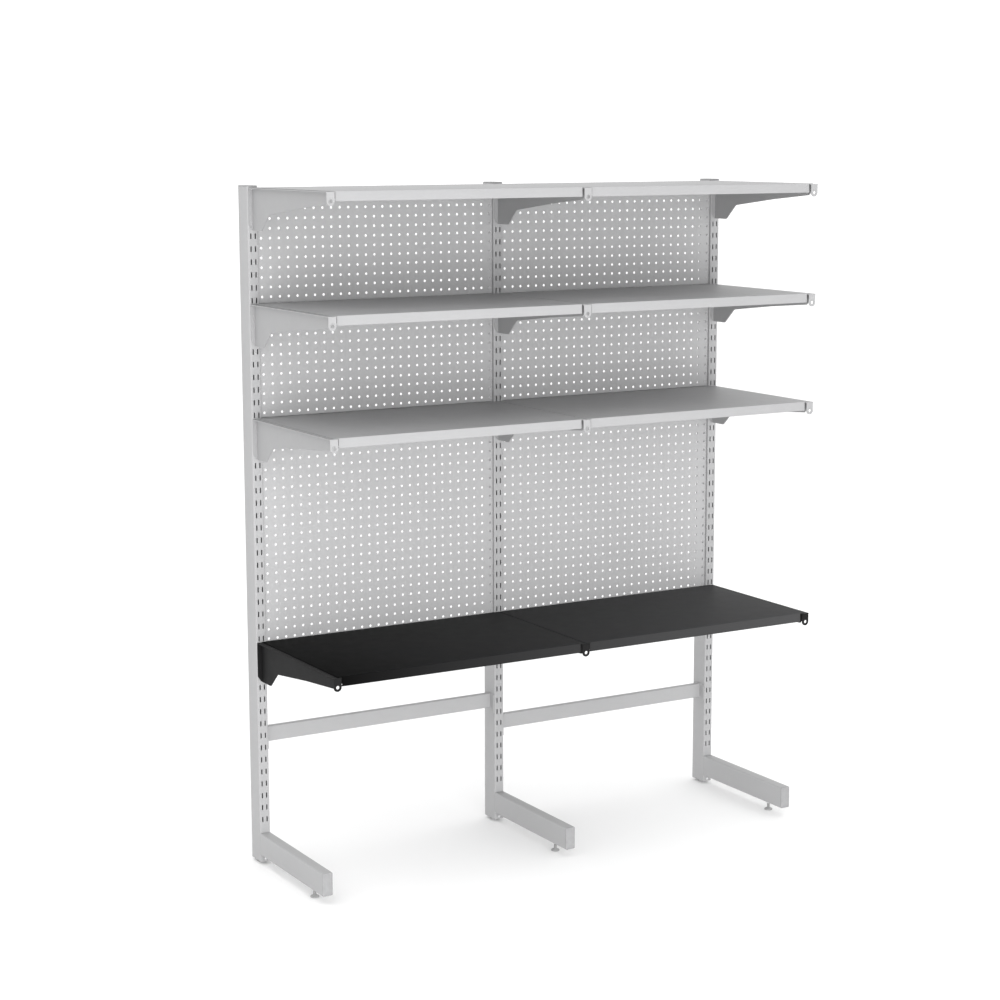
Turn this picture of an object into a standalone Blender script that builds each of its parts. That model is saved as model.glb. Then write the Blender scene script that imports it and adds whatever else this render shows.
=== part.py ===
"""Two-bay gondola shelving unit with perforated backs and a desk-height shelf.

Metres, +Z up. The origin is on the floor, midway between the end uprights and midway
between the front and the back of the unit, which faces -Y.
"""

import math

import bmesh
import bpy
from mathutils import Matrix, Vector

# Driving dimensions
BAY_PITCH = 0.880
BAY_COUNT = 2
UPRIGHT_WIDTH = 0.035
UPRIGHT_DEPTH = 0.070
UPRIGHT_WALL = 0.0018
UPRIGHT_CORNER = 0.003
UPRIGHT_BOTTOM = 0.008
UPRIGHT_TOP = 2.183
SLOT_PITCH = 0.040
SLOT_FIRST = 0.150
SLOT_COUNT = 51
SLOT_WIDTH = 0.0044
SLOT_HEIGHT = 0.018
SLOT_OFFSET = 0.0075
LEVELS = {"desk": 0.740, "lower": 1.460, "middle": 1.820, "top": 2.180}
GAP = 0.0003

# Shelf decks
DECK_SHEET = 0.0015
DECK_DEPTH = 0.547
DECK_REAR_CLEAR = 0.001
DECK_END_CLEAR = 0.002
DECK_LIP = 0.030
DECK_REAR_LIP = 0.022
DECK_SIDE_LIP = 0.022
DECK_HEM = 0.012
DECK_TRAY_INSET = 0.0156

# Shelf brackets
BRACKET_WIDTH = 0.030
BRACKET_SHEET = 0.0025
BRACKET_WEB = 0.003
BRACKET_REACH = 0.5525
BRACKET_TAIL_DROP = 0.131
BRACKET_WING_DROP = 0.113
BRACKET_TAIL_LENGTH = 0.069
BRACKET_STEP = (0.123, 0.082)
BRACKET_WAIST = (0.333, 0.057)
BRACKET_FRONT_DROP = 0.039
NOSE_WIDTH = 0.026
NOSE_HOLE_RADIUS = 0.006
NOSE_HOLE_DROP = 0.030
NOSE_RELIEF = 0.003
HOOK_WIDTH = 0.0034
HOOK_HEIGHT = 0.012
HOOK_THROAT = 0.0026
HOOK_THICKNESS = 0.0035
HOOK_DROP = 0.006
HOOK_ROWS = 2

# Base legs, feet and fixings
LEG_BOTTOM = 0.031
LEG_HEIGHT = 0.074
LEG_REACH = 0.458
LEG_WALL = 0.002
LEG_CAP = 0.004
LEG_PLUG_DEPTH = 0.014
LEG_PLATE = 0.004
FOOT_REACH = 0.368
FOOT_RADIUS = 0.014
FOOT_PAD = 0.006
FOOT_EDGE = 0.004
FOOT_EASE = 0.001
FOOT_COLLAR = 0.003
STEM_RADIUS = 0.005
STEM_CLEAR = 0.0004
FRONT_STEM_TOP = 0.066
REAR_STEM_TOP = 0.036
INSERT_TOP = 0.028
INSERT_FLOOR = 0.0085
BOLT_HEIGHTS = (0.045, 0.085)
BOLT_RADIUS = 0.004
BOLT_HEAD_RADIUS = 0.0075
BOLT_HEAD = 0.005
SCREW_HEIGHT = 0.017
SCREW_RADIUS = 0.002
SCREW_HEAD_RADIUS = 0.0045
SCREW_HEAD = 0.002
SCREW_LENGTH = 0.010
CAP_PLATE = 0.003
CAP_PLUG = 0.012

# Crossbars and back panels
BAR_HEIGHT = 0.050
BAR_DEPTH = 0.020
BAR_WALL = 0.0015
BAR_SETBACK = 0.028
BAR_BOTTOMS = {"left": 0.400, "right": 0.320}
BAR_PLATE = 0.0025
BAR_PLATE_DROP = 0.018
BAR_PLATE_MARGIN = 0.003
PANEL_SHEET = 0.0012
PANEL_FLANGE = 0.013
PANEL_SETBACK = 0.006
PANEL_CLEAR = 0.0005
PANEL_SEAMS = (0.700, 1.460, 1.820, 2.180)
PANEL_NAMES = ("lower", "middle", "upper")

# Derived places
FRONT_Y = (BRACKET_REACH - UPRIGHT_DEPTH - BOLT_HEAD - GAP) / 2
HALF_WIDTH = UPRIGHT_WIDTH / 2
SIDES = ("left", "middle", "right")
BAYS = ("left", "right")
OVERLAP = 0.001
ROUND_STEPS = 20
SMALL_STEPS = 16
HEX_STEPS = 6
SMOOTH_BELOW = math.radians(35)


def clear_scene():
    for old in list(bpy.data.objects):
        bpy.data.objects.remove(old, do_unlink=True)


def make_material(name, colour, roughness, metallic):
    made = bpy.data.materials.new(name)
    made.use_nodes = True
    shader = made.node_tree.nodes["Principled BSDF"]
    shader.inputs["Base Color"].default_value = (*colour, 1.0)
    shader.inputs["Roughness"].default_value = roughness
    shader.inputs["Metallic"].default_value = metallic
    return made


def box(low, high):
    """A closed box between two corners."""
    shape = bmesh.new()
    size = Vector(high) - Vector(low)
    middle = (Vector(high) + Vector(low)) / 2
    matrix = Matrix.Translation(middle) @ Matrix.Diagonal((*size, 1.0))
    bmesh.ops.create_cube(shape, size=1.0, matrix=matrix)
    return shape


def prism(outline, thickness, place):
    """A flat outline extruded along its local +Z by thickness, then placed by a matrix."""
    shape = bmesh.new()
    corners = [shape.verts.new((x, y, 0.0)) for x, y in outline]
    face = shape.faces.new(corners)
    grown = bmesh.ops.extrude_face_region(shape, geom=[face])
    moved = [item for item in grown["geom"] if isinstance(item, bmesh.types.BMVert)]
    bmesh.ops.translate(shape, verts=moved, vec=(0.0, 0.0, thickness))
    bmesh.ops.transform(shape, matrix=place, verts=shape.verts)
    bmesh.ops.recalc_face_normals(shape, faces=shape.faces)
    return shape


def rod(radius, low, high, axis, steps=ROUND_STEPS):
    """A closed cylinder from low to high along axis Y or Z, centred on the other two."""
    shape = bmesh.new()
    length = (Vector(high) - Vector(low)).length
    place = Matrix.Translation((Vector(high) + Vector(low)) / 2)
    if axis == "Y":
        place = place @ Matrix.Rotation(math.pi / 2, 4, "X")
    bmesh.ops.create_cone(
        shape,
        cap_ends=True,
        segments=steps,
        radius1=radius,
        radius2=radius,
        depth=length,
        matrix=place,
    )
    return shape


def turned(profile, steps=ROUND_STEPS):
    """A solid turned about Z from (radius, height) points listed bottom to top."""
    shape = bmesh.new()
    rings = []
    for radius, height in profile:
        angles = [2 * math.pi * step / steps for step in range(steps)]
        ring = [(radius * math.cos(a), radius * math.sin(a), height) for a in angles]
        rings.append([shape.verts.new(point) for point in ring])
    for lower, upper in zip(rings, rings[1:]):
        for step in range(steps):
            after = (step + 1) % steps
            shape.faces.new((lower[step], lower[after], upper[after], upper[step]))
    shape.faces.new(list(reversed(rings[0])))
    shape.faces.new(rings[-1])
    return shape


def rounded_rectangle(width, depth, radius, steps=3):
    """Outline of a rectangle centred on zero whose corners are arcs."""
    points = []
    centres = ((1, 1, 0), (-1, 1, 90), (-1, -1, 180), (1, -1, 270))
    for side_x, side_y, start in centres:
        for step in range(steps + 1):
            angle = math.radians(start + 90 * step / steps)
            x = side_x * (width / 2 - radius) + radius * math.cos(angle)
            y = side_y * (depth / 2 - radius) + radius * math.sin(angle)
            points.append((x, y))
    return points


def as_object(name, shape):
    mesh = bpy.data.meshes.new(name)
    shape.to_mesh(mesh)
    shape.free()
    made = bpy.data.objects.new(name, mesh)
    bpy.context.scene.collection.objects.link(made)
    return made


def merged(shapes):
    """Separate closed shapes held in one bmesh, to serve as one Boolean operand."""
    whole = bmesh.new()
    for shape in shapes:
        mesh = bpy.data.meshes.new("operand")
        shape.to_mesh(mesh)
        shape.free()
        whole.from_mesh(mesh)
        bpy.data.meshes.remove(mesh)
    return whole


def even_out(mesh):
    """Splits a mesh's faces into the best-shaped triangles their corners allow."""
    shape = bmesh.new()
    shape.from_mesh(mesh)
    bmesh.ops.triangulate(
        shape, faces=shape.faces, quad_method="BEAUTY", ngon_method="BEAUTY"
    )
    shape.to_mesh(mesh)
    shape.free()


def carved(name, base, joined=(), bore=None, cuts=()):
    """The mesh of base with shapes joined to it, its bore opened, then cutters taken away."""
    body = as_object(name, base)
    helpers = []
    steps = [(shape, "UNION") for shape in joined]
    if bore:
        steps.append((bore, "DIFFERENCE"))
    if cuts:
        steps.append((merged(cuts), "DIFFERENCE"))
    for shape, operation in steps:
        helper = as_object(name + "_tool", shape)
        helper.hide_render = True
        helper.display_type = "WIRE"
        step = body.modifiers.new(operation.title(), "BOOLEAN")
        step.operation = operation
        step.object = helper
        helpers.append(helper)
    bpy.context.view_layer.update()
    graph = bpy.context.evaluated_depsgraph_get()
    mesh = bpy.data.meshes.new_from_object(body.evaluated_get(graph))
    mesh.name = name
    mesh.materials.clear()
    even_out(mesh)
    for extra in [*helpers, body]:
        bpy.data.objects.remove(extra, do_unlink=True)
    return mesh


def node(name, mesh, material, location, parent, smooth=False):
    """One sub-part: an object that shows the mesh at a place in the unit's frame."""
    made = bpy.data.objects.new(name, mesh)
    if not mesh.materials:
        mesh.materials.append(None)
    made.material_slots[0].link = "OBJECT"
    made.material_slots[0].material = material
    if smooth:
        mesh.shade_smooth()
        mesh.set_sharp_from_angle(angle=SMOOTH_BELOW)
    bpy.context.scene.collection.objects.link(made)
    made.parent = parent
    made.location = location
    return made


def upright_mesh():
    """Rectangular tube, open at both ends, with two columns of slots down its front."""
    outer = rounded_rectangle(UPRIGHT_WIDTH, UPRIGHT_DEPTH, UPRIGHT_CORNER)
    height = UPRIGHT_TOP - UPRIGHT_BOTTOM
    middle_y = UPRIGHT_DEPTH / 2
    tube = prism(outer, height, Matrix.Translation((0, middle_y, UPRIGHT_BOTTOM)))
    bore_x = HALF_WIDTH - UPRIGHT_WALL
    bore_low = (-bore_x, UPRIGHT_WALL, UPRIGHT_BOTTOM - OVERLAP)
    bore_high = (bore_x, UPRIGHT_DEPTH - UPRIGHT_WALL, UPRIGHT_TOP + OVERLAP)
    bore = box(bore_low, bore_high)
    cuts = []
    half = SLOT_WIDTH / 2
    for row in range(SLOT_COUNT):
        z = SLOT_FIRST + row * SLOT_PITCH
        for x in (-SLOT_OFFSET, SLOT_OFFSET):
            low = (x - half, -OVERLAP, z - SLOT_HEIGHT / 2)
            high = (x + half, UPRIGHT_WALL + OVERLAP, z + SLOT_HEIGHT / 2)
            cuts.append(box(low, high))
    through = UPRIGHT_DEPTH + OVERLAP
    for z in BOLT_HEIGHTS:
        cuts.append(rod(BOLT_RADIUS + GAP, (0, -OVERLAP, z), (0, through, z), "Y"))
    screw_end = UPRIGHT_WALL + OVERLAP
    low, high = (0, -OVERLAP, SCREW_HEIGHT), (0, screw_end, SCREW_HEIGHT)
    cuts.append(rod(SCREW_RADIUS + GAP, low, high, "Y"))
    return carved("upright", tube, bore=bore, cuts=cuts)


def cap_mesh():
    """Push-in cap: a thin plate over the tube's end and a plug inside it."""
    plate = prism(
        rounded_rectangle(UPRIGHT_WIDTH, UPRIGHT_DEPTH, UPRIGHT_CORNER),
        CAP_PLATE,
        Matrix.Translation((0, UPRIGHT_DEPTH / 2, 0)),
    )
    inset = UPRIGHT_WALL + GAP
    low = (inset - HALF_WIDTH, inset, -CAP_PLUG)
    high = (HALF_WIDTH - inset, UPRIGHT_DEPTH - inset, OVERLAP)
    return carved("upright_cap", plate, joined=[box(low, high)])


def insert_mesh():
    """Block in the upright's bottom that holds the rear foot's stem."""
    inset = UPRIGHT_WALL + GAP
    low = (inset - HALF_WIDTH, inset, INSERT_FLOOR)
    high = (HALF_WIDTH - inset, UPRIGHT_DEPTH - inset, INSERT_TOP)
    middle = UPRIGHT_DEPTH / 2
    stem_low = (0, middle, INSERT_FLOOR - OVERLAP)
    stem_high = (0, middle, INSERT_TOP + OVERLAP)
    stem_hole = rod(STEM_RADIUS + STEM_CLEAR, stem_low, stem_high, "Z")
    hole_low = (0, 0, SCREW_HEIGHT)
    hole_high = (0, SCREW_LENGTH + OVERLAP, SCREW_HEIGHT)
    screw_hole = rod(SCREW_RADIUS + GAP, hole_low, hole_high, "Y")
    return carved("foot_insert", box(low, high), cuts=[stem_hole, screw_hole])


def foot_mesh(stem_top):
    """Levelling foot: a round pad with a low cone and a threaded stem."""
    shape = turned(
        (
            (FOOT_RADIUS - FOOT_EASE, 0.0),
            (FOOT_RADIUS, FOOT_EASE),
            (FOOT_RADIUS, FOOT_EDGE),
            (STEM_RADIUS + FOOT_COLLAR, FOOT_PAD),
            (STEM_RADIUS, FOOT_PAD + FOOT_EASE),
            (STEM_RADIUS, stem_top),
        )
    )
    mesh = bpy.data.meshes.new("levelling_foot")
    shape.to_mesh(mesh)
    shape.free()
    return mesh


def screw_mesh():
    """Small pan-head screw that enters the upright's front wall."""
    head = rod(SCREW_HEAD_RADIUS, (0, -SCREW_HEAD - GAP, 0), (0, -GAP, 0), "Y", SMALL_STEPS)
    shank = rod(SCREW_RADIUS, (0, -SCREW_HEAD, 0), (0, SCREW_LENGTH, 0), "Y", SMALL_STEPS)
    return carved("foot_screw", head, joined=[shank])


def bolt_mesh():
    """Hexagon bolt that runs forward through the upright into the leg's end plate."""
    back = UPRIGHT_DEPTH + GAP
    head = rod(BOLT_HEAD_RADIUS, (0, back, 0), (0, back + BOLT_HEAD, 0), "Y", HEX_STEPS)
    front = -GAP - LEG_PLATE
    shank = rod(BOLT_RADIUS, (0, front, 0), (0, back + OVERLAP, 0), "Y", SMALL_STEPS)
    return carved("leg_bolt", head, joined=[shank])


def leg_mesh():
    """Base leg: a deep rectangular tube, its rear end closed by a drilled plate."""
    low = (-HALF_WIDTH, -LEG_REACH, LEG_BOTTOM)
    high = (HALF_WIDTH, -GAP, LEG_BOTTOM + LEG_HEIGHT)
    bore_low = (LEG_WALL - HALF_WIDTH, -LEG_REACH - OVERLAP, LEG_BOTTOM + LEG_WALL)
    bore_top = LEG_BOTTOM + LEG_HEIGHT - LEG_WALL
    bore_high = (HALF_WIDTH - LEG_WALL, -GAP - LEG_PLATE, bore_top)
    bore = box(bore_low, bore_high)
    cuts = []
    for z in BOLT_HEIGHTS:
        hole_low = (0, -LEG_PLATE - 2 * OVERLAP, z)
        cuts.append(rod(BOLT_RADIUS + GAP, hole_low, (0, OVERLAP, z), "Y"))
    stem_low = (0, -FOOT_REACH, LEG_BOTTOM - OVERLAP)
    stem_high = (0, -FOOT_REACH, LEG_BOTTOM + LEG_WALL + OVERLAP)
    cuts.append(rod(STEM_RADIUS + STEM_CLEAR, stem_low, stem_high, "Z"))
    return carved("base_leg", box(low, high), bore=bore, cuts=cuts)


def leg_cap_mesh():
    """End cap in the leg's open front: a plate with eased edges and a plug."""
    turn = Matrix.Rotation(math.pi / 2, 4, "X")
    middle = Matrix.Translation((0, -GAP, LEG_BOTTOM + LEG_HEIGHT / 2))
    outline = rounded_rectangle(UPRIGHT_WIDTH, LEG_HEIGHT, 2 * UPRIGHT_CORNER)
    plate = prism(outline, LEG_CAP, middle @ turn)
    inset = LEG_WALL + GAP
    low = (inset - HALF_WIDTH, -OVERLAP, LEG_BOTTOM + inset)
    high = (HALF_WIDTH - inset, LEG_PLUG_DEPTH, LEG_BOTTOM + LEG_HEIGHT - inset)
    return carved("leg_cap", plate, joined=[box(low, high)])


def bar_mesh():
    """Crossbar tube between two uprights with a hooked plate at each end."""
    half = BAY_PITCH / 2 - HALF_WIDTH - GAP
    low = (-half, BAR_SETBACK, 0)
    high = (half, BAR_SETBACK + BAR_DEPTH, BAR_HEIGHT)
    tube = box(low, high)
    bore_low = (-half - OVERLAP, BAR_SETBACK + BAR_WALL, BAR_WALL)
    bore_y = BAR_SETBACK + BAR_DEPTH - BAR_WALL
    bore = box(bore_low, (half + OVERLAP, bore_y, BAR_HEIGHT - BAR_WALL))
    hollow = carved("bar_tube", tube, bore=bore)
    body = bmesh.new()
    body.from_mesh(hollow)
    bpy.data.meshes.remove(hollow)
    back = BAR_SETBACK + BAR_DEPTH + BAR_PLATE_MARGIN
    front = BAR_PLATE_MARGIN
    outline = (
        (front, -BAR_PLATE_DROP),
        (BAR_SETBACK / 2, -BAR_PLATE_DROP),
        (back, 0.0),
        (back, BAR_HEIGHT),
        (front, BAR_HEIGHT),
    )
    # Local X becomes Y and local Y becomes Z, so the plates lie against the uprights.
    lay = Matrix(((0, 0, 1, 0), (1, 0, 0, 0), (0, 1, 0, 0), (0, 0, 0, 1)))
    plates = [
        prism(outline, BAR_PLATE, Matrix.Translation((x, 0, 0)) @ lay)
        for x in (-half, half - BAR_PLATE)
    ]
    windows = []
    for x in (-half - OVERLAP, half - BAR_PLATE - OVERLAP):
        middle_y = BAR_SETBACK + BAR_DEPTH / 2
        low = (x, middle_y - BAR_DEPTH / 4, BAR_HEIGHT / 4)
        high = (x + BAR_PLATE + 2 * OVERLAP, middle_y + BAR_DEPTH / 4, 3 * BAR_HEIGHT / 4)
        windows.append(box(low, high))
    return carved("crossbar", body, joined=plates, cuts=windows)


def panel_mesh(height):
    """Back panel: a thin sheet whose four edges fold backwards."""
    half = BAY_PITCH / 2 - HALF_WIDTH - PANEL_CLEAR
    low = (-half, PANEL_SETBACK, PANEL_CLEAR)
    high = (half, PANEL_SETBACK + PANEL_FLANGE, height - PANEL_CLEAR)
    room_low = (
        PANEL_SHEET - half,
        PANEL_SETBACK + PANEL_SHEET,
        PANEL_CLEAR + PANEL_SHEET,
    )
    room_high = (
        half - PANEL_SHEET,
        PANEL_SETBACK + PANEL_FLANGE + OVERLAP,
        height - PANEL_CLEAR - PANEL_SHEET,
    )
    return carved("back_panel", box(low, high), bore=box(room_low, room_high))


def deck_mesh():
    """Shelf deck: a sheet top over a shallow inverted tray with a deeper, hemmed lip."""
    top_half = BAY_PITCH / 2 - DECK_END_CLEAR
    tray_half = BAY_PITCH / 2 - DECK_TRAY_INSET
    front, back = -DECK_DEPTH, -DECK_REAR_CLEAR
    sheet = box((-top_half, front, -DECK_SHEET), (top_half, back, 0))
    lip_low = (-tray_half, front, -DECK_LIP)
    lip = box(lip_low, (tray_half, front + DECK_SHEET, -DECK_SHEET / 2))
    hem_high = (tray_half, front + DECK_HEM, DECK_SHEET - DECK_LIP)
    hem = box(lip_low, hem_high)
    rear_low = (-tray_half, back - DECK_SHEET, -DECK_REAR_LIP)
    rear = box(rear_low, (tray_half, back, -DECK_SHEET / 2))
    sides = []
    for x in (-tray_half, tray_half - DECK_SHEET):
        low = (x, front + DECK_SHEET / 2, -DECK_SIDE_LIP)
        high = (x + DECK_SHEET, back - DECK_SHEET / 2, -DECK_SHEET / 2)
        sides.append(box(low, high))
    return carved("deck", sheet, joined=[lip, hem, rear, *sides])


def hook_outline(middle, rear):
    """Side view of one hook: a neck through the slot and a claw that drops behind it."""
    throat = UPRIGHT_WALL + HOOK_THROAT
    tip = throat + HOOK_THICKNESS
    upper, lower = middle + HOOK_HEIGHT / 2, middle - HOOK_HEIGHT / 2
    return (
        (rear - OVERLAP, upper),
        (rear - OVERLAP, lower),
        (throat, lower),
        (throat, lower - HOOK_DROP),
        (tip, lower - HOOK_DROP),
        (tip, upper),
    )


def bracket_mesh():
    """Shelf bracket: web with a deep tail, top flange, hooked rear plate and ring nose."""
    half_width = BRACKET_WIDTH / 2
    top = -DECK_SHEET - GAP
    inside_flange = top - BRACKET_SHEET / 2
    rear = -GAP
    nose = -BRACKET_REACH
    # Local X becomes Y and local Y becomes Z, so an outline is a side view.
    lay = Matrix(((0, 0, 1, 0), (1, 0, 0, 0), (0, 1, 0, 0), (0, 0, 0, 1)))
    # Local Y becomes Z and the thickness runs towards the front.
    stand = Matrix(((1, 0, 0, 0), (0, 0, -1, 0), (0, 1, 0, 0), (0, 0, 0, 1)))

    step_y, step_z = BRACKET_STEP
    waist_y, waist_z = BRACKET_WAIST
    relief_z = NOSE_HOLE_RADIUS + NOSE_RELIEF - NOSE_HOLE_DROP
    side_view = (
        (rear - OVERLAP, inside_flange),
        (rear - OVERLAP, -BRACKET_TAIL_DROP),
        (-BRACKET_TAIL_LENGTH, -BRACKET_TAIL_DROP),
        (-step_y, -step_z),
        (-waist_y, -waist_z),
        (nose + NOSE_WIDTH, -BRACKET_FRONT_DROP),
        (nose + NOSE_WIDTH / 2, relief_z),
        (nose + OVERLAP, relief_z),
        (nose + OVERLAP, inside_flange),
    )
    web_place = Matrix.Translation((-BRACKET_WEB / 2, 0, 0)) @ lay
    web = prism(side_view, BRACKET_WEB, web_place)

    flange_low = (-half_width, nose + OVERLAP / 2, top - BRACKET_SHEET)
    flange = box(flange_low, (half_width, rear - OVERLAP / 2, top))

    wing_base = OVERLAP - BRACKET_TAIL_DROP
    front_view = (
        (-half_width, inside_flange),
        (-half_width, -BRACKET_WING_DROP),
        (-BRACKET_WEB, wing_base),
        (BRACKET_WEB, wing_base),
        (half_width, -BRACKET_WING_DROP),
        (half_width, inside_flange),
    )
    saddle_place = Matrix.Translation((0, rear, 0)) @ stand
    saddle = prism(front_view, BRACKET_SHEET, saddle_place)

    half_nose = NOSE_WIDTH / 2
    tongue = [(half_nose, inside_flange), (-half_nose, inside_flange)]
    for count in range(ROUND_STEPS // 2 + 1):
        angle = math.pi * (1 + 2 * count / ROUND_STEPS)
        x = half_nose * math.cos(angle)
        tongue.append((x, half_nose * math.sin(angle) - NOSE_HOLE_DROP))
    tongue_place = Matrix.Translation((0, nose + BRACKET_SHEET, 0)) @ stand
    plate = prism(tongue, BRACKET_SHEET, tongue_place)

    hooks = []
    for row in range(HOOK_ROWS):
        outline = hook_outline(-NOSE_HOLE_DROP - row * SLOT_PITCH, rear)
        for x in (-SLOT_OFFSET, SLOT_OFFSET):
            place = Matrix.Translation((x - HOOK_WIDTH / 2, 0, 0)) @ lay
            hooks.append(prism(outline, HOOK_WIDTH, place))
    hole_low = (0, nose - OVERLAP, -NOSE_HOLE_DROP)
    hole_high = (0, nose + BRACKET_SHEET + OVERLAP, -NOSE_HOLE_DROP)
    hole = rod(NOSE_HOLE_RADIUS, hole_low, hole_high, "Y")
    joined = [flange, saddle, plate, *hooks]
    return carved("bracket", web, joined=joined, cuts=[hole])


def build():
    clear_scene()
    steel = make_material("grey_coated_steel", (0.50, 0.50, 0.50), 0.45, 0.0)
    panel_steel = make_material("grey_panel_steel", (0.46, 0.46, 0.46), 0.5, 0.0)
    black = make_material("black_coated_steel", (0.012, 0.012, 0.013), 0.42, 0.0)
    plastic = make_material("grey_plastic", (0.42, 0.42, 0.42), 0.55, 0.0)
    foot_plastic = make_material("dark_foot", (0.10, 0.10, 0.10), 0.6, 0.0)
    zinc = make_material("zinc_plate", (0.72, 0.72, 0.73), 0.32, 1.0)

    unit = bpy.data.objects.new("gondola_unit", None)
    bpy.context.scene.collection.objects.link(unit)
    span = BAY_PITCH * BAY_COUNT
    stations = {side: i * BAY_PITCH - span / 2 for i, side in enumerate(SIDES)}

    upright, cap, insert = upright_mesh(), cap_mesh(), insert_mesh()
    leg, leg_cap, screw, bolt = leg_mesh(), leg_cap_mesh(), screw_mesh(), bolt_mesh()
    front_foot, rear_foot = foot_mesh(FRONT_STEM_TOP), foot_mesh(REAR_STEM_TOP)
    bracket, bar, deck = bracket_mesh(), bar_mesh(), deck_mesh()

    for side, x in stations.items():
        foot_y = FRONT_Y - FOOT_REACH
        cap_z = UPRIGHT_TOP + GAP
        node(f"upright_{side}", upright, steel, (x, FRONT_Y, 0), unit)
        node(f"upright_cap_{side}", cap, plastic, (x, FRONT_Y, cap_z), unit)
        node(f"foot_insert_{side}", insert, foot_plastic, (x, FRONT_Y, 0), unit)
        node(f"foot_screw_{side}", screw, zinc, (x, FRONT_Y, SCREW_HEIGHT), unit)
        node(f"base_leg_{side}", leg, steel, (x, FRONT_Y, 0), unit)
        node(f"leg_cap_{side}", leg_cap, plastic, (x, FRONT_Y - LEG_REACH, 0), unit)
        middle_y = FRONT_Y + UPRIGHT_DEPTH / 2
        node(f"front_foot_{side}", front_foot, foot_plastic, (x, foot_y, 0), unit, True)
        node(f"rear_foot_{side}", rear_foot, foot_plastic, (x, middle_y, 0), unit, True)
        for place, z in zip(("lower", "upper"), BOLT_HEIGHTS):
            node(f"leg_bolt_{side}_{place}", bolt, zinc, (x, FRONT_Y, z), unit)
        for level, z in LEVELS.items():
            coat = black if level == "desk" else steel
            node(f"bracket_{level}_{side}", bracket, coat, (x, FRONT_Y, z), unit)

    seams = list(zip(PANEL_NAMES, PANEL_SEAMS, PANEL_SEAMS[1:]))
    panels = {name: panel_mesh(top - bottom) for name, bottom, top in seams}
    for i, bay in enumerate(BAYS):
        x = (i + 0.5) * BAY_PITCH - span / 2
        node(f"crossbar_{bay}", bar, steel, (x, FRONT_Y, BAR_BOTTOMS[bay]), unit)
        for name, bottom, _ in seams:
            place = (x, FRONT_Y, bottom)
            node(f"back_panel_{name}_{bay}", panels[name], panel_steel, place, unit)
        for level, z in LEVELS.items():
            coat = black if level == "desk" else steel
            node(f"deck_{level}_{bay}", deck, coat, (x, FRONT_Y, z), unit)


build()
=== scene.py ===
"""Visual model of the gondola shelving unit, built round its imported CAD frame.

Metres, +Z up, in the CAD frame. Each piece is placed from the box of the CAD node that
it stands for. Sheet and tube sizes that a box can't tell are named below.
"""

import math

import bmesh
import bpy
from mathutils import Matrix, Vector


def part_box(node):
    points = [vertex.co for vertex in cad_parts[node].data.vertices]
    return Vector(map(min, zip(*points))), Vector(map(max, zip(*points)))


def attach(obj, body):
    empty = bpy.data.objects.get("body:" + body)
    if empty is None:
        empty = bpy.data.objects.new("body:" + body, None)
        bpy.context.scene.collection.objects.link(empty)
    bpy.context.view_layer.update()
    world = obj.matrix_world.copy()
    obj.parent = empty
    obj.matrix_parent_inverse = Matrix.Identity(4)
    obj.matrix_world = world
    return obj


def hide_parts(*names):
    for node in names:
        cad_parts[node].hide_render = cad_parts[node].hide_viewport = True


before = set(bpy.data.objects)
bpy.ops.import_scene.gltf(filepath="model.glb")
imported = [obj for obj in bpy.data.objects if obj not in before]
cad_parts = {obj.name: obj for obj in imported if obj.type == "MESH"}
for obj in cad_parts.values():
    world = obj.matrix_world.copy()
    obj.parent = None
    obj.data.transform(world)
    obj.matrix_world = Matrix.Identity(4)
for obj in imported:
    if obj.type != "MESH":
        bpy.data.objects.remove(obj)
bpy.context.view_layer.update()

SIDES = ("left", "middle", "right")
BAYS = ("left", "right")
LEVELS = ("desk", "lower", "middle", "top")
PANELS = ("lower", "middle", "upper")

# Uprights
TUBE_WALL = 0.0018
TUBE_CORNER = 0.003
SLOT_PITCH = 0.040
SLOT_FIRST = 0.150
SLOT_COUNT = 51
SLOT_WIDTH = 0.0044
SLOT_HEIGHT = 0.018
SLOT_OFFSET = 0.0075
SLOT_SPREAD = 0.0032

# Perforated back panels
HOLE_RADIUS = 0.0042
HOLE_PITCH = 0.0304
HOLE_COLUMNS = 28
HOLE_DATUM = 0.776
HOLE_MARGIN = 0.0085
HOLE_SPREAD = 0.0058
PANEL_SHEET = 0.0012
PANEL_BEND = 0.0022

# Shelf decks
DECK_SHEET = 0.0015
DECK_LIP = 0.030
DECK_REAR_LIP = 0.022
DECK_SIDE_LIP = 0.022
DECK_HEM = 0.012
DECK_TRAY_INSET = 0.0156

# Shelf brackets, measured down from the deck's top and forward from the upright
BRACKET_SHEET = 0.0025
BRACKET_WEB = 0.003
BRACKET_TAIL_DROP = 0.131
BRACKET_WING_DROP = 0.113
BRACKET_TAIL_LENGTH = 0.069
BRACKET_STEP = (0.123, 0.082)
BRACKET_WAIST = (0.333, 0.057)
BRACKET_FRONT_DROP = 0.039
NOSE_WIDTH = 0.026
NOSE_HOLE_RADIUS = 0.006
NOSE_HOLE_DROP = 0.030
NOSE_RELIEF = 0.003
NOSE_RIM = 0.0013
HOOK_WIDTH = 0.0034
HOOK_HEIGHT = 0.012
HOOK_THROAT = 0.0044
HOOK_TIP = 0.0079
HOOK_DROP = 0.006

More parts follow.
